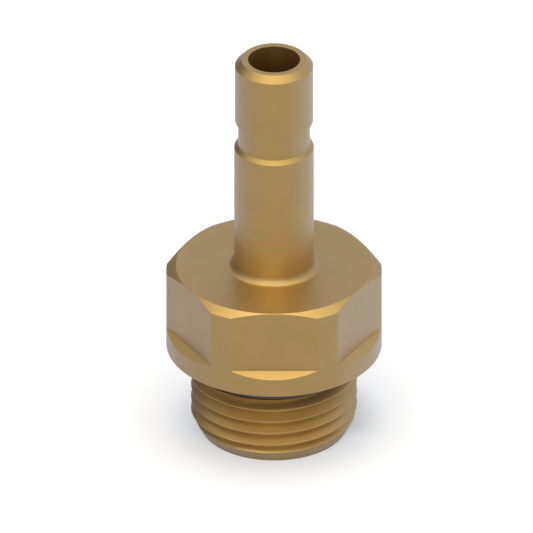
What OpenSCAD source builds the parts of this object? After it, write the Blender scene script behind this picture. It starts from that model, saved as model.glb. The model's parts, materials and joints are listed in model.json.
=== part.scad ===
// Plug-in stem adapter: a smooth stem for a push-in socket, a spanner body and a
// parallel male pipe thread, turned from one brass bar and milled with six flats,
// and the rubber sealing ring that sits in the undercut below the flange.
// The axis of turning is Z. The origin is the centre of the thread's flat end face.

/* [Stem] */
// Diameter of the stem
stem_d = 8; // [7.2:0.1:12]
// Length of the stem, from the top of the hexagon to the tip's flat face
stem_len = 23.8; // [14:0.1:60]
// Radius of the blend between the stem and the hexagon's top
stem_fillet = 0.7; // [0.2:0.05:1.5]
// How much thinner the tip land is than the stem, on the diameter
tip_relief = 0.15; // [0.05:0.05:0.4]
// Length of the tip land, from the flat face to the groove
tip_len = 6.95; // [3:0.05:9]
// Length of the tip's 45 degree lead-in
tip_chamfer = 0.65; // [0.2:0.05:0.8]
// Width of the gripping groove, from the square shoulder below the land over the bevelled one
groove_w = 3.11; // [1.2:0.01:4.5]
// Depth of the gripping groove below the stem
groove_depth = 0.4; // [0.2:0.05:0.6]
// Diameter of the bore through the whole fitting
bore_d = 5.25; // [2:0.05:5.4]
// Size of the chamfer at the bore's mouth in the threaded end
bore_chamfer = 0.3; // [0.1:0.05:1]

/* [Spanner body] */
// Diameter of the flange and of the hexagon's rounded corners
flange_d = 21.64; // [20.6:0.02:22.6]
// Distance across two opposite flats
across_flats = 19.8; // [19.2:0.05:20.8]
// Height of the body, from the flange's seating face to the top of the hexagon
body_h = 9.07; // [6:0.01:25]
// Height of the round flange at the middle of a flat
flange_h = 1.94; // [1.2:0.01:3]
// Angle between the hexagon's crown chamfer and its top face
crown_angle = 30; // [15:1:45]
// Angle between the milled ledge below a flat and the seating face
ledge_angle = 30; // [0:1:45]
// Width left between the crown chamfer and the middle of a flat
crown_margin = 0.05; // [0.02:0.01:0.5]

/* [Pipe thread] */
// Major diameter of the thread
thread_major = 16.662; // [15.6:0.001:17.4]
// Pitch of the thread
thread_pitch = 1.337; // [0.9:0.001:1.6]
// Included angle of the thread's flanks
flank_angle = 55; // [50:1:60]
// Length from the end face to the undercut
thread_len = 7.3; // [4:0.01:20]
// Diameter of the end face, where the lead-in cone starts
thread_end_d = 14.6; // [12:0.05:15.4]
// Angle between the lead-in cone and the axis
lead_angle = 29; // [20:1:60]
// Angle from +X at which a thread crest leaves the end face
thread_start = 0; // [0:1:359]

/* [Sealing ring] */
// Diameter of the undercut that carries the ring
neck_d = 14.5; // [12:0.05:14.9]
// Height of the undercut, from the end of the thread to the seating face
neck_h = 2.08; // [1.8:0.01:3.5]
// Thickness of the ring's round section
ring_section = 1.78; // [1:0.01:1.85]
// Clearance between the ring and the undercut
ring_fit = 0.05; // [0.02:0.01:0.2]
// Clearance between the ring and the face above it
ring_play = 0.04; // [0.02:0.01:0.2]
// Depth of the recess in the seating face that the ring is seated in
recess_depth = 0.2; // [0.1:0.01:1]
// Clearance between the ring and the recess's outer wall
recess_fit = 0.12; // [0.05:0.01:0.3]

/* [Hidden] */

$fn = 96;

// Heights along the axis, from the end face up
seat_z = thread_len + neck_h;
crown_z = seat_z + body_h;
tip_z = crown_z + stem_len;

// Radii of the turned section
bore_r = bore_d / 2;
stem_r = stem_d / 2;
groove_r = stem_r - groove_depth;
tip_r = stem_r - tip_relief / 2;
flange_r = flange_d / 2;
flat_r = across_flats / 2;
crown_r = flat_r - crown_margin;
neck_r = neck_d / 2;
major_r = thread_major / 2;
end_r = thread_end_d / 2;

// Places of the sealing ring and its recess
ring_mean_r = neck_r + ring_fit + ring_section / 2;
ring_z = seat_z + recess_depth - ring_play - ring_section / 2;
recess_r = ring_mean_r + ring_section / 2 + recess_fit;

// Proportions of the rounded pipe thread, as shares of its pitch
half_flank = flank_angle / 2;
sharp_h = thread_pitch / (2 * tan(half_flank));
minor_r = major_r - 2 / 3 * sharp_h;
root_round = sharp_h / 6 / (1 / sin(half_flank) - 1);
apex_r = major_r + sharp_h / 6;

// Fineness of the thread: steps round one turn and across one rounded root
turn_steps = 60;
root_steps = 3;

// How far a cutter or a buried end runs past the face that it crosses
overrun = 1;

flat_count = 6;

// Half of the section above the undercut, drawn as radius against height.
module upper_section() {
    polygon([
        [bore_r, seat_z - neck_h - overrun],
        [neck_r, seat_z - neck_h - overrun],
        [neck_r, seat_z + recess_depth],
        [recess_r, seat_z + recess_depth],
        [recess_r, seat_z],
        [flange_r, seat_z],
        [flange_r, crown_z - (flange_r - crown_r) * tan(crown_angle)],
        [crown_r, crown_z],
        [stem_r, crown_z],
        [stem_r, tip_z - tip_len - groove_w],
        [groove_r, tip_z - tip_len - groove_w + groove_depth],
        [groove_r, tip_z - tip_len],
        [tip_r, tip_z - tip_len],
        [tip_r, tip_z - tip_chamfer],
        [tip_r - tip_chamfer, tip_z],
        [bore_r, tip_z]
    ]);
    translate([stem_r, crown_z])
        difference() {
            square(stem_fillet);
            translate([stem_fillet, stem_fillet]) circle(stem_fillet);
        }
}

// Cutter for one flat: the flat itself, and the sloping ledge that the mill leaves below it.
module flat_cutter() {
    reach = flange_r + overrun;
    slope = tan(ledge_angle);
    rim_z = seat_z + flange_h;
    rotate([90, 0, 0])
        linear_extrude(height = flange_d, center = true)
            polygon([
                [flat_r, rim_z + (flange_r - flat_r) * slope],
                [reach, rim_z + (flange_r - reach) * slope],
                [reach, crown_z + overrun],
                [flat_r, crown_z + overrun]
            ]);
}

// One pitch of the thread's outline as [radius, height] points: a sharp crest, which the
// blank's cylinder truncates, and a root rounded by an arc that is tangent to both flanks.
function thread_outline() = concat(
    [[apex_r, 0]],
    [for (i = [0 : root_steps])
        let (a = (90 - half_flank) * (2 * i / root_steps - 1))
        [minor_r + root_round * (1 - cos(a)), thread_pitch / 2 + root_round * sin(a)]]
);

// Right-hand thread without end: the outline is repeated up the axis and climbs by one pitch
// in a turn, so the last column of points joins the first one a pitch further up.
module thread_ridges(low, high) {
    outline = thread_outline();
    rows = len(outline);
    first = floor(low / thread_pitch) - 2;
    turns = ceil(high / thread_pitch) + 1 - first;
    top = rows * turns;
    side = [for (i = [0 : turn_steps - 1], j = [0 : top])
        let (p = outline[j % rows], a = thread_start + 360 * i / turn_steps)
        [p[0] * cos(a), p[0] * sin(a),
         p[1] + thread_pitch * (first + floor(j / rows) + i / turn_steps)]];
    function at(i, j) = i < turn_steps ? i * (top + 1) + j : j + rows;
    foot = len(side);
    head = foot + 1;
    ends = [[0, 0, thread_pitch * (first - 1)], [0, 0, thread_pitch * (first + turns + 1)]];
    walls = [for (i = [0 : turn_steps - 1], j = [0 : top - 1])
        if (i < turn_steps - 1 || j < top - rows)
            for (f = [[at(i, j), at(i, j + 1), at(i + 1, j + 1)],
                      [at(i, j), at(i + 1, j + 1), at(i + 1, j)]]) f];
    caps = concat(
        [for (i = [0 : turn_steps - 1]) [foot, at(i, 0), at(i + 1, 0)]],
        [for (j = [0 : rows - 1]) [foot, at(0, j + 1), at(0, j)]],
        [for (i = [0 : turn_steps - 2]) [head, at(i + 1, top), at(i, top)]],
        [[head, at(turn_steps, top - rows), at(turn_steps - 1, top - rows)]],
        [for (j = [top - rows : top - 1])
            [head, at(turn_steps - 1, j), at(turn_steps - 1, j + 1)]]
    );
    polyhedron(points = concat(side, ends), faces = concat(walls, caps));
}

// Turned blank of the thread: its true major cylinder, and the lead-in cone at the end.
module thread_blank() {
    lead_len = (major_r - end_r) / tan(lead_angle);
    cylinder(h = lead_len, r1 = end_r, r2 = major_r);
    translate([0, 0, lead_len]) cylinder(h = thread_len - lead_len, r = major_r);
}

module threaded_end() {
    intersection() {
        thread_blank();
        thread_ridges(0, thread_len);
    }
}

module fitting_body() {
    color("#b08a50")
        difference() {
            union() {
                rotate_extrude() upper_section();
                threaded_end();
            }
            for (i = [0 : flat_count - 1])
                rotate([0, 0, 360 / flat_count * i + 90]) flat_cutter();
            translate([0, 0, -overrun]) cylinder(h = tip_z + 2 * overrun, r = bore_r);
            translate([0, 0, -overrun])
                cylinder(h = bore_chamfer + overrun, r1 = bore_r + bore_chamfer + overrun, r2 = bore_r);
        }
}

module sealing_ring() {
    color("#2b2a29")
        translate([0, 0, ring_z])
            rotate_extrude() translate([ring_mean_r, 0]) circle(d = ring_section);
}

fitting_body();
sealing_ring();
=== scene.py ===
"""Plug-in stem adapter of turned brass with its rubber sealing ring, standing on a pale floor."""

import json
import math

import bmesh
import bpy
import numpy as np
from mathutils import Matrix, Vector


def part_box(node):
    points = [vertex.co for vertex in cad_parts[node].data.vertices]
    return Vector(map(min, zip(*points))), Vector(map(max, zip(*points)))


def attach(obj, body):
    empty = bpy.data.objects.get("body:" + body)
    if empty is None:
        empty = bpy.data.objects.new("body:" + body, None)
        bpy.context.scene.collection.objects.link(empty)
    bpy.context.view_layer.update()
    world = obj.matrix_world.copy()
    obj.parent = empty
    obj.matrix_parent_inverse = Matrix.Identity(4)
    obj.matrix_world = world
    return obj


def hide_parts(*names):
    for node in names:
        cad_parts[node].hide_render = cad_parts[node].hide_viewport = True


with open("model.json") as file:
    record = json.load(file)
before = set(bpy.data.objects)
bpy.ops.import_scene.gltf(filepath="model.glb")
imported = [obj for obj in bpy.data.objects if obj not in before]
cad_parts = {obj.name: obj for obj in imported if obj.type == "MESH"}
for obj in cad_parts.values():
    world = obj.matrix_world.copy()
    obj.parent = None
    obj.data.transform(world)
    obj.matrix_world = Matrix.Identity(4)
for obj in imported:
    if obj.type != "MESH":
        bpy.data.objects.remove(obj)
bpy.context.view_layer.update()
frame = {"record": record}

MM = 0.001
FULL_TURN = 2 * math.pi
FLAT_COUNT = 6

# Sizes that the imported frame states, in millimetres.
MOUNTS = {m["name"]: m for m in frame["record"]["mounts"]}


def radius_of(mount):
    """Radius of a round mount's wall."""
    return MOUNTS[mount]["dims"]["r_mm"]


def height_of(mount):
    """Height of a mount's place above the end face."""
    return MOUNTS[mount]["pos_m"][2] / MM


def span_of(mount):
    """Lowest and highest place of a round mount's wall: its middle, less and plus half its length."""
    half = MOUNTS[mount]["dims"]["length_mm"] / 2
    return height_of(mount) - half, height_of(mount) + half


def box_of(node):
    """Lowest and highest corner of a solid."""
    low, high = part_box(node)
    return np.array(low) / MM, np.array(high) / MM


_, body_high = box_of("fitting_body")
ring_low, ring_high = box_of("sealing_ring")

tip_z = body_high[2]
flange_r = min(body_high[:2])
stem_r = radius_of("stem")
tip_r = radius_of("stem_tip")
bore_r = radius_of("flow_bore")
major_r = radius_of("male_thread")
seat_z = height_of("flange_seat")
flat_r = -MOUNTS["spanner_flat_front"]["pos_m"][1] / MM
fillet_top, groove_low = span_of("stem")
groove_high, tip_edge = span_of("stem_tip")
lead_top, thread_end = span_of("male_thread")

ring_section = ring_high[2] - ring_low[2]
ring_mean_r = ring_high[0] - ring_section / 2
ring_z = (ring_high[2] + ring_low[2]) / 2

# Sizes of the small features, in millimetres and degrees.
stem_fillet = 0.7
groove_depth = 0.4
crown_margin = 0.05
crown_slope = math.tan(math.radians(30))
ledge_slope = math.tan(math.radians(30))
ledge_rim = 1.94
recess_depth = 0.2
recess_fit = 0.12
neck_fit = 0.05
neck_fillet = 0.1
end_r = 7.3
bore_chamfer = 0.3
thread_pitch = 1.337
crest_half = 0.03
half_flank = math.radians(27.5)
ridge_height = 0.012

crown_z = fillet_top - stem_fillet
crown_r = flat_r - crown_margin
groove_r = stem_r - groove_depth
neck_r = ring_mean_r - ring_section / 2 - neck_fit
recess_r = ring_mean_r + ring_section / 2 + recess_fit
tip_chamfer = tip_z - tip_edge

sharp_h = thread_pitch / (2 * math.tan(half_flank))
minor_r = major_r - 2 / 3 * sharp_h
groove_slope = (major_r - minor_r) / (thread_pitch / 2 - crest_half)

# Rounding that deburring leaves on the edges, and how near to an edge its guard loops run.
deburr = 0.04
crest_deburr = 0.01
guard = 0.03

# A vector shorter than this has no direction.
TINY = 1e-9


def smooth_min(a, b, blend):
    """The lower of two values, less a quarter of blend where they meet, so that the change is round."""
    near = np.clip(blend - np.abs(a - b), 0, None) / blend
    return np.minimum(a, b) - near ** 2 * blend / 4


def body_angles():
    """Angles round the axis from 0, a corner of the hexagon, to a full turn. An edge of a flat lies
    where the flat's plane meets the flange's cylinder, so its angle from the flat's middle has the
    cosine flat_r / flange_r. The angles are close together beside each such edge."""
    edge_step = math.radians(0.25)
    edge_steps = 3
    corner_steps = 4
    flat_steps = 14
    middle = math.pi / FLAT_COUNT
    edge = middle - math.acos(flat_r / flange_r)
    beside = edge + edge_step * np.arange(-edge_steps, edge_steps + 1)
    corner = np.linspace(0, beside[0], corner_steps + 1)[:-1]
    across = np.linspace(beside[-1], middle, flat_steps + 1)[1:]
    half = np.concatenate([corner, beside, across])
    sector = np.concatenate([half, 2 * middle - half[-2:0:-1]])
    turns = np.arange(FLAT_COUNT)[:, None] * 2 * middle
    return np.append((turns + sector).ravel(), FULL_TURN)


def flat_angle(angle):
    """Angle from the middle of the nearest flat."""
    sector = FULL_TURN / FLAT_COUNT
    return np.mod(angle, sector) - sector / 2


def thread_radius(height, angle):
    """Radius of the thread: the major radius along a crest that climbs one pitch a turn, and from
    the crest's edges two straight flanks that meet at the minor radius."""
    climbed = thread_pitch * angle / FULL_TURN
    offset = np.mod(height - climbed + thread_pitch / 2, thread_pitch)
    to_crest = np.abs(offset - thread_pitch / 2)
    flank = major_r - groove_slope * (to_crest - crest_half)
    return smooth_min(flank, major_r, crest_deburr)


def thread_rows(angle):
    """Rows of [radius, height] along the helix. Each row keeps its place on the thread's outline
    and climbs one pitch a turn, is held between the end face and the undercut, and is cut by
    the lead-in cone. The rows are closest beside a crest's two edges."""
    edge_rows = 5
    edge_share = 0.6
    flank_rows = 6
    pitches_below = 2
    beside = crest_half + crest_deburr * np.linspace(-edge_share, edge_share, edge_rows)
    flank = np.linspace(crest_half + crest_deburr, thread_pitch / 2, flank_rows + 1)[1:]
    half = np.concatenate([[0], beside, flank])
    outline = np.concatenate([half, thread_pitch - half[-2:0:-1]])
    pitches = np.arange(-pitches_below, math.ceil(thread_end / thread_pitch) + 1)
    offsets = (pitches[:, None] * thread_pitch + outline).ravel()
    height = offsets[:, None] + thread_pitch * angle / FULL_TURN
    height = np.clip(height, 0, thread_end)
    cone = end_r + (major_r - end_r) * height / lead_top
    radius = smooth_min(thread_radius(height, angle), cone, deburr)
    return np.stack([radius, height], axis=-1)


def length_of(vectors):
    """Length of each vector: the square root of the sum of its squares."""
    return np.linalg.norm(vectors, axis=-1, keepdims=True)


def unit(vectors):
    """Vectors divided by their lengths."""
    return vectors / np.maximum(length_of(vectors), TINY)


def rounded(corners, roundings):
    """A line through corners with each corner replaced by an arc that is tangent to both sides.
    The arc's centre lies on the corner's bisector, its ends lie rounding / tan(half the corner's
    angle) away, or a share of the shorter side where there is less room, and a guard point follows
    at a small distance on either side."""
    arc_steps = 6
    side_share = 0.4
    least_half = 0.1
    rows = [corners[0]]
    for before, corner, after, rounding in zip(corners, corners[1:], corners[2:], roundings):
        back, ahead = unit(before - corner), unit(after - corner)
        half = np.arccos(np.clip(np.sum(back * ahead, axis=-1, keepdims=True), -1, 1)) / 2
        room = side_share * np.minimum(length_of(before - corner), length_of(after - corner))
        reach = np.minimum(rounding / np.tan(np.maximum(half, least_half)), room)
        radius = reach * np.tan(half)
        inward, along = unit(back + ahead), unit(ahead - back)
        centre = corner + inward * radius / np.maximum(np.sin(half), TINY)
        beyond = reach + np.minimum(guard, side_share * room)
        rows.append(corner + back * beyond)
        for share in np.linspace(-0.5, 0.5, arc_steps + 1):
            turn = share * (math.pi - 2 * half)
            rows.append(centre + radius * (along * np.sin(turn) - inward * np.cos(turn)))
        rows.append(corner + ahead * beyond)
    rows.append(corners[-1])
    return np.stack(rows)


def upper_rows(angle, start):
    """Rows of [radius, height] from the undercut to the bore's foot. Above the flange the radius is
    the lower of the flange's and the distance to the flat's plane, the ledge falls away from the
    flat's foot by its slope, and the crown cone rises from that same edge to the top face."""
    one = np.ones_like(angle)
    from_flat = np.cos(flat_angle(angle))
    edge_r = smooth_min(flat_r / from_flat, flange_r * one, deburr)
    ledge_foot = seat_z + ledge_rim + (flange_r - flat_r) * ledge_slope
    ledge_edge = ledge_foot - (flange_r * from_flat - flat_r) * ledge_slope
    ledge_edge = np.minimum(ledge_edge, ledge_foot)
    crown_edge = crown_z - (edge_r - crown_r) * crown_slope
    groove_foot = groove_low + groove_depth
    bore_middle = tip_z / 2
    # Each corner's radius, height and rounding.
    table = [
        (start, thread_end, 0),
        (neck_r, thread_end, neck_fillet),
        (neck_r, seat_z + recess_depth, neck_fillet),
        (recess_r, seat_z + recess_depth, deburr),
        (recess_r, seat_z, deburr),
        (flange_r, seat_z, deburr),
        (flange_r, ledge_edge, deburr),
        (edge_r, ledge_foot, deburr),
        (edge_r, crown_edge, deburr),
        (crown_r, crown_z, deburr),
        (stem_r, crown_z, stem_fillet),
        (stem_r, groove_low, deburr),
        (groove_r, groove_foot, deburr),
        (groove_r, groove_high, crest_deburr),
        (tip_r, groove_high, crest_deburr),
        (tip_r, tip_edge, deburr),
        (tip_r - tip_chamfer, tip_z, deburr),
        (bore_r, tip_z, crest_deburr),
        (bore_r, bore_middle, 0),
        (bore_r, bore_chamfer, deburr),
        (bore_r + bore_chamfer, 0, deburr),
        (end_r, 0, 0),
    ]
    corners = np.stack([np.stack([r * one, z * one], axis=-1) for r, z, _ in table])
    return rounded(corners, [rounding for _, _, rounding in table[1:-1]])


def turned_mesh(name, angle, rows):
    """Mesh of a closed section turned round the Z axis: each [radius, height] row becomes a ring of
    points at (radius * cos, radius * sin, height). The last angle meets the first, and the last
    row the first row, where coincident points are merged."""
    merge_distance = 1e-7
    sharp_angle = math.radians(32)
    radius, height = rows[..., 0] * MM, rows[..., 1] * MM
    points = np.stack([radius * np.cos(angle), radius * np.sin(angle), height], axis=-1)
    row_count, column_count = radius.shape
    index = np.arange(row_count * column_count).reshape(row_count, column_count)
    quads = np.stack([index[:-1, :-1], index[:-1, 1:], index[1:, 1:], index[1:, :-1]], axis=-1)
    mesh = bpy.data.meshes.new(name)
    mesh.from_pydata(points.reshape(-1, 3), [], quads.reshape(-1, 4))
    shell = bmesh.new()
    shell.from_mesh(mesh)
    bmesh.ops.remove_doubles(shell, verts=shell.verts, dist=merge_distance)
    bmesh.ops.dissolve_degenerate(shell, edges=shell.edges, dist=merge_distance)
    bmesh.ops.recalc_face_normals(shell, faces=shell.faces)
    shell.to_mesh(mesh)
    shell.free()
    mesh.shade_smooth()
    mesh.set_sharp_from_angle(angle=sharp_angle)
    piece = bpy.data.objects.new(name, mesh)
    bpy.context.scene.collection.objects.link(piece)
    return piece


def make_body():
    """The brass body: one closed section from the end face over the thread, the flange, the flats,
    the stem and the tip, and down the bore, turned through a full turn."""
    angle = body_angles()
    thread = thread_rows(angle)
    upper = upper_rows(angle, thread[-1, :, 0])
    return turned_mesh("turned_body", angle, np.concatenate([thread, upper[1:]]))


def make_ring():
    """The sealing ring: a round section turned about the axis. Its radius is half the thickness and
    a fine ridge, which the mould's parting line leaves at the middle of the outside and the inside
    and which falls off as a bell curve of the sine of the angle round the section."""
    turn_steps = 192
    section_steps = 64
    ridge_width = 0.06
    angle = np.linspace(0, FULL_TURN, turn_steps + 1)
    around = np.linspace(0, FULL_TURN, section_steps + 1)
    ridge = ridge_height * np.exp(-(np.sin(around) / ridge_width) ** 2)
    reach = (ring_section / 2 + ridge)[:, None] * np.ones_like(angle)
    radius = ring_mean_r + reach * np.cos(around)[:, None]
    height = ring_z + reach * np.sin(around)[:, None]
    return turned_mesh("rubber_ring", angle, np.stack([radius, height], axis=-1))


def new_material(name):
    """A material with nodes, and its nodes and links."""
    material = bpy.data.materials.new(name)
    material.use_nodes = True
    return material, material.node_tree.nodes, material.node_tree.links


def noise(nodes, links, place, size, detail):
    """Noise read at a place, with a grain as wide as size says in millimetres."""
    scale = nodes.new("ShaderNodeMath")
    scale.operation = "DIVIDE"
    scale.inputs[0].default_value = 1 / MM
    links.new(size, scale.inputs[1])
    texture = nodes.new("ShaderNodeTexNoise")
    texture.inputs["Detail"].default_value = detail
    links.new(place, texture.inputs["Vector"])
    links.new(scale.outputs[0], texture.inputs["Scale"])
    return texture.outputs["Fac"]


def lathe_marks():
    """Node group for the fine marks of turning and moulding. The marks' height is noise read at the
    distance from the axis and the height above the end face, so they run round the axis. The
    mottle is noise read at the place itself."""
    group = bpy.data.node_groups.new("lathe_marks", "ShaderNodeTree")
    face = group.interface
    for label, value in (("Spacing", 0.12), ("Mottle Size", 1.5)):
        socket = face.new_socket(label, in_out="INPUT", socket_type="NodeSocketFloat")
        socket.default_value = value
    for label in ("Height", "Mottle"):
        face.new_socket(label, in_out="OUTPUT", socket_type="NodeSocketFloat")
    nodes, links = group.nodes, group.links
    given = nodes.new("NodeGroupInput")
    result = nodes.new("NodeGroupOutput")
    place = nodes.new("ShaderNodeTexCoord")
    parts = nodes.new("ShaderNodeSeparateXYZ")
    links.new(place.outputs["Object"], parts.inputs[0])
    flat = nodes.new("ShaderNodeCombineXYZ")
    links.new(parts.outputs["X"], flat.inputs["X"])
    links.new(parts.outputs["Y"], flat.inputs["Y"])
    from_axis = nodes.new("ShaderNodeVectorMath")
    from_axis.operation = "LENGTH"
    links.new(flat.outputs[0], from_axis.inputs[0])
    section = nodes.new("ShaderNodeCombineXYZ")
    links.new(from_axis.outputs["Value"], section.inputs["X"])
    links.new(parts.outputs["Z"], section.inputs["Y"])
    height = noise(nodes, links, section.outputs[0], given.outputs["Spacing"], detail=3.0)
    links.new(height, result.inputs["Height"])
    mottle = noise(nodes, links, place.outputs["Object"], given.outputs["Mottle Size"], detail=2.0)
    links.new(mottle, result.inputs["Mottle"])
    return group


def place_marks(nodes, group, spacing, mottle_size):
    """Places the node group with its own spacing of marks and size of mottle, in millimetres."""
    marks = nodes.new("ShaderNodeGroup")
    marks.node_tree = group
    marks.inputs["Spacing"].default_value = spacing
    marks.inputs["Mottle Size"].default_value = mottle_size
    return marks


def ramp(nodes, links, source, low, high):
    """Maps a noise value from its usual range, 0.3 to 0.7, to the range from low to high."""
    spread = nodes.new("ShaderNodeMapRange")
    spread.inputs["From Min"].default_value = 0.3
    spread.inputs["From Max"].default_value = 0.7
    spread.inputs["To Min"].default_value = low
    spread.inputs["To Max"].default_value = high
    links.new(source, spread.inputs["Value"])
    return spread.outputs["Result"]


def blend(nodes, links, factor, first, second):
    """Mixes two colours by a factor. Each may be a plain colour or another node's output."""
    mix = nodes.new("ShaderNodeMix")
    mix.data_type = "RGBA"
    for label, colour in (("A", first), ("B", second)):
        if isinstance(colour, tuple):
            mix.inputs[label].default_value = (*colour, 1)
        else:
            links.new(colour, mix.inputs[label])
    links.new(factor, mix.inputs["Factor"])
    return mix.outputs["Result"]


def relief(nodes, links, height, strength, depth):
    """Normals of a fine relief, whose full depth is given in millimetres."""
    bump = nodes.new("ShaderNodeBump")
    bump.inputs["Strength"].default_value = strength
    bump.inputs["Distance"].default_value = depth * MM
    links.new(height, bump.inputs["Height"])
    return bump.outputs["Normal"]


def brass_material(group):
    """Satin turned brass: a warm metal with fine marks round the axis, a faint mottle and a dull
    sheen on top."""
    deep, light = (0.479, 0.281, 0.029), (0.5125, 0.301, 0.038)
    material, nodes, links = new_material("turned_brass")
    shader = nodes["Principled BSDF"]
    shader.inputs["Metallic"].default_value = 1.0
    shader.inputs["Coat Weight"].default_value = 1.0
    shader.inputs["Coat Roughness"].default_value = 0.42
    shader.inputs["Coat IOR"].default_value = 1.9
    marks = place_marks(nodes, group, spacing=0.11, mottle_size=2.2)
    mottle = ramp(nodes, links, marks.outputs["Mottle"], low=0.0, high=1.0)
    gloss = ramp(nodes, links, marks.outputs["Height"], low=0.42, high=0.48)
    normal = relief(nodes, links, marks.outputs["Height"], strength=0.10, depth=0.01)
    links.new(blend(nodes, links, mottle, deep, light), shader.inputs["Base Color"])
    links.new(gloss, shader.inputs["Roughness"])
    links.new(normal, shader.inputs["Normal"])
    return material


def rubber_material(group):
    """Black nitrile rubber: dull, a little lighter in the mottle, with a fine moulded grain."""
    deep, light = (0.040, 0.038, 0.038), (0.052, 0.050, 0.051)
    material, nodes, links = new_material("seal_rubber")
    shader = nodes["Principled BSDF"]
    marks = place_marks(nodes, group, spacing=0.2, mottle_size=0.4)
    mottle = ramp(nodes, links, marks.outputs["Mottle"], low=0.0, high=1.0)
    gloss = ramp(nodes, links, marks.outputs["Mottle"], low=0.5, high=0.62)
    normal = relief(nodes, links, marks.outputs["Mottle"], strength=0.15, depth=0.02)
    links.new(blend(nodes, links, mottle, deep, light), shader.inputs["Base Color"])
    links.new(gloss, shader.inputs["Roughness"])
    links.new(normal, shader.inputs["Normal"])
    return material


def dress(piece, material, node):
    """Gives a piece its material, hangs it under the root body and hides the solid that it stands for.
    """
    piece.data.materials.append(material)
    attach(piece, "root")
    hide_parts(node)


def smooth_share(nodes, links, value, low, high):
    """Share from 0 to 1 that grows smoothly, without a kink, as a value goes from low to high."""
    share = nodes.new("ShaderNodeMapRange")
    share.interpolation_type = "SMOOTHSTEP"
    share.inputs["From Min"].default_value = low
    share.inputs["From Max"].default_value = high
    links.new(value, share.inputs["Value"])
    return share.outputs["Result"]


def share_toward(nodes, links, space, direction, low, high):
    """Share that grows as a place or a line of sight, given in the named coordinates and seen from
    the origin, turns towards a direction. Low and high are the cosines of the angles to it at
    which the share starts and is whole."""
    place = nodes.new("ShaderNodeTexCoord")
    bearing = nodes.new("ShaderNodeVectorMath")
    bearing.operation = "NORMALIZE"
    links.new(place.outputs[space], bearing.inputs[0])
    along = nodes.new("ShaderNodeVectorMath")
    along.operation = "DOT_PRODUCT"
    along.inputs[1].default_value = Vector(direction).normalized()
    links.new(bearing.outputs[0], along.inputs[0])
    return smooth_share(nodes, links, along.outputs["Value"], low, high)


def share_beyond(nodes, links, near, far):
    """Share that grows as a place goes from near to far from the origin, in millimetres."""
    place = nodes.new("ShaderNodeTexCoord")
    distance = nodes.new("ShaderNodeVectorMath")
    distance.operation = "LENGTH"
    links.new(place.outputs["Object"], distance.inputs[0])
    return smooth_share(nodes, links, distance.outputs["Value"], near * MM, far * MM)


def floor_reflection(nodes, links):
    """Painted reflection light that the floor adds where the part mirrors it, laid out by place and not
    cast by a lamp. It is cool at the sides and behind, weak on the left and stronger on the right, and
    there is hardly any in front. Near the foot it is blended from behind to the front instead, with
    painted shade close behind the foot, and under the part there is none, which paints the shade under
    it."""
    left_side, right_side = (0.0, 0.05, 0.24), (0.09, 0.18, 0.42)
    far_front = (0.03, 0.022, 0.02)
    # near_back is painted shade close behind the foot; near_front is a painted brighter reflection
    # close in front.
    near_back, near_front = (0.0, 0.02, 0.15), (0.10, 0.15, 0.30)
    near_radius, far_radius = 8, 16
    # Painted shade: the reflection light is nil under the part and fades in just past the foot's edge.
    dark_radius, lit_radius = end_r - 0.4, end_r + 0.7
    right = share_toward(nodes, links, "Object", (1, 0, 0), -0.5, 0.8)
    front = share_toward(nodes, links, "Object", (0, -1, 0), 0.0, 0.95)
    away = share_beyond(nodes, links, near_radius, far_radius)
    clear_of_painted_shade = share_beyond(nodes, links, dark_radius, lit_radius)
    side = blend(nodes, links, right, left_side, right_side)
    far = blend(nodes, links, front, side, far_front)
    near = blend(nodes, links, front, near_back, near_front)
    light = blend(nodes, links, away, near, far)
    return blend(nodes, links, clear_of_painted_shade, (0.0, 0.0, 0.0), light)


def floor_lift(nodes, links):
    """Light that the floor adds towards the camera, so that open floor is plain white. Beside the foot
    on the right there is less of it, which paints a deeper shadow there than the lamps cast, and under
    the part there is none, which paints the shade under it."""
    open_floor, painted_shadow_lift = (0.175, 0.238, 0.313), (0.055, 0.103, 0.153)
    near_radius, far_radius = 7, 12.5
    dark_radius = end_r - 0.8
    # Painted shadow: a smaller lift beside the foot on the right, towards the back, deepens the floor's
    # shade there.
    painted_shadow_share = share_toward(nodes, links, "Object", (1, 0.35, 0), 0.75, 0.98)
    away = share_beyond(nodes, links, near_radius, far_radius)
    # Painted shade: no lift under the part.
    clear_of_painted_shade = share_beyond(nodes, links, dark_radius, end_r)
    near = blend(nodes, links, painted_shadow_share, open_floor, painted_shadow_lift)
    light = blend(nodes, links, away, near, open_floor)
    return blend(nodes, links, clear_of_painted_shade, (0.0, 0.0, 0.0), light)


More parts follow.
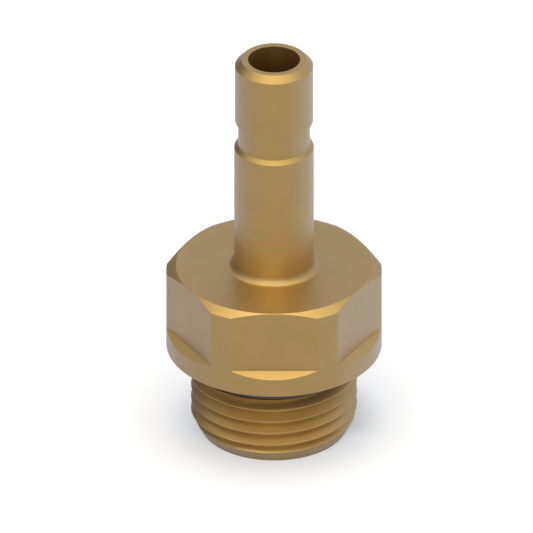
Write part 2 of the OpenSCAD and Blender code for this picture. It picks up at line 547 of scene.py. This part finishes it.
def make_floor():
    """Level square floor under the end face. It scatters light, in a paler tone for the camera than for
    the part. It adds floor_lift towards the camera, with its painted shadow beside the foot, and the
    painted reflection light and shade of floor_reflection in reflections."""
    half_width = 1.5
    tone, tone_seen = (0.543, 0.57, 0.64), (0.858, 0.807, 0.745)
    mesh = bpy.data.meshes.new("floor")
    corners = [(x * half_width, y * half_width, 0) for x, y in ((-1, -1), (1, -1), (1, 1), (-1, 1))]
    mesh.from_pydata(corners, [], [(0, 1, 2, 3)])
    floor = bpy.data.objects.new("floor", mesh)
    bpy.context.scene.collection.objects.link(floor)
    material, nodes, links = new_material("pale_floor")
    nodes.remove(nodes["Principled BSDF"])
    path = nodes.new("ShaderNodeLightPath")
    camera = path.outputs["Is Camera Ray"]
    scatter = nodes.new("ShaderNodeBsdfDiffuse")
    links.new(blend(nodes, links, camera, tone, tone_seen), scatter.inputs["Color"])
    added = blend(nodes, links, camera, floor_reflection(nodes, links), floor_lift(nodes, links))
    glow = nodes.new("ShaderNodeEmission")
    links.new(added, glow.inputs["Color"])
    both = nodes.new("ShaderNodeAddShader")
    links.new(scatter.outputs[0], both.inputs[0])
    links.new(glow.outputs[0], both.inputs[1])
    seen = nodes.new("ShaderNodeMath")
    seen.operation = "MAXIMUM"
    links.new(camera, seen.inputs[0])
    links.new(path.outputs["Is Glossy Ray"], seen.inputs[1])
    choose = nodes.new("ShaderNodeMixShader")
    links.new(seen.outputs[0], choose.inputs["Fac"])
    links.new(scatter.outputs[0], choose.inputs[1])
    links.new(both.outputs[0], choose.inputs[2])
    links.new(choose.outputs[0], nodes["Material Output"].inputs["Surface"])
    mesh.materials.append(material)


def softbox(name, place, target, size, power):
    """Rectangular soft lamp at place, turned to shine at target."""
    lamp = bpy.data.lights.new(name, "AREA")
    lamp.shape = "RECTANGLE"
    lamp.size, lamp.size_y = size
    lamp.energy = power
    holder = bpy.data.objects.new(name, lamp)
    holder.location = place
    holder.rotation_euler = (Vector(target) - Vector(place)).to_track_quat("-Z", "Y").to_euler()
    bpy.context.scene.collection.objects.link(holder)


def light_studio():
    """Light from all round, blended by direction: cool, a little brighter on the right, much
    brighter and warmer overhead, and nearly dark low behind on the left. The camera sees plain
    white past the floor's edge. Two soft lamps, above and in front, shine at the part's middle."""
    cool_sky, right_sky = (0.488, 0.54, 0.67), (0.62, 0.70, 0.89)
    overhead_sky = (1.53, 1.41, 1.17)
    dark_sky = (0.0944, 0.0944, 0.1072)
    world = bpy.data.worlds.new("studio")
    world.use_nodes = True
    nodes, links = world.node_tree.nodes, world.node_tree.links
    right = share_toward(nodes, links, "Generated", (0.95, 0.2, 0.25), 0.3, 0.95)
    overhead = share_toward(nodes, links, "Generated", (-0.03, -0.22, 0.97), 0.46, 1.0)
    dark = share_toward(nodes, links, "Generated", (-0.75, 0.65, -0.05), 0.64, 0.95)
    sky = blend(nodes, links, right, cool_sky, right_sky)
    sky = blend(nodes, links, overhead, sky, overhead_sky)
    sky = blend(nodes, links, dark, sky, dark_sky)
    path = nodes.new("ShaderNodeLightPath")
    seen = blend(nodes, links, path.outputs["Is Camera Ray"], sky, (1.0, 1.0, 1.0))
    links.new(seen, nodes["Background"].inputs["Color"])
    bpy.context.scene.world = world
    aim = (0, 0, tip_z * MM / 2)
    softbox("overhead", (-0.02, 0.0, 0.55), aim, size=(0.32, 0.32), power=0.44)
    softbox("front", (-0.06, -0.52, 0.27), aim, size=(0.6, 0.3), power=0.672)


def place_camera():
    """Parallel view from the front, 30 degrees above the level, at the photograph's scale. It aims at
    the place whose picture is the frame's middle: the origin's picture is at axis_px from the left
    and foot_px from the top, and heights are shortened by the cosine of the elevation."""
    px_per_mm = 9.965
    frame_px = 533
    axis_px = 273.51
    foot_px = 423.5
    centre_px = (frame_px - 1) / 2
    elevation = math.radians(30)
    distance = 0.4
    aim = Vector((
        (centre_px - axis_px) / px_per_mm * MM,
        0,
        (foot_px - centre_px) / (px_per_mm * math.cos(elevation)) * MM,
    ))
    lens = bpy.data.cameras.new("camera")
    lens.type = "ORTHO"
    lens.ortho_scale = frame_px / px_per_mm * MM
    lens.clip_start = 0.01
    lens.clip_end = 10
    camera = bpy.data.objects.new("camera", lens)
    back = Vector((0, -math.cos(elevation), math.sin(elevation)))
    camera.location = aim + back * distance
    camera.rotation_euler = (-back).to_track_quat("-Z", "Y").to_euler()
    bpy.context.scene.collection.objects.link(camera)
    bpy.context.scene.camera = camera


marks_group = lathe_marks()
dress(make_body(), brass_material(marks_group), "fitting_body")
dress(make_ring(), rubber_material(marks_group), "sealing_ring")
make_floor()
light_studio()
place_camera()
bpy.context.scene.view_settings.view_transform = "Standard"
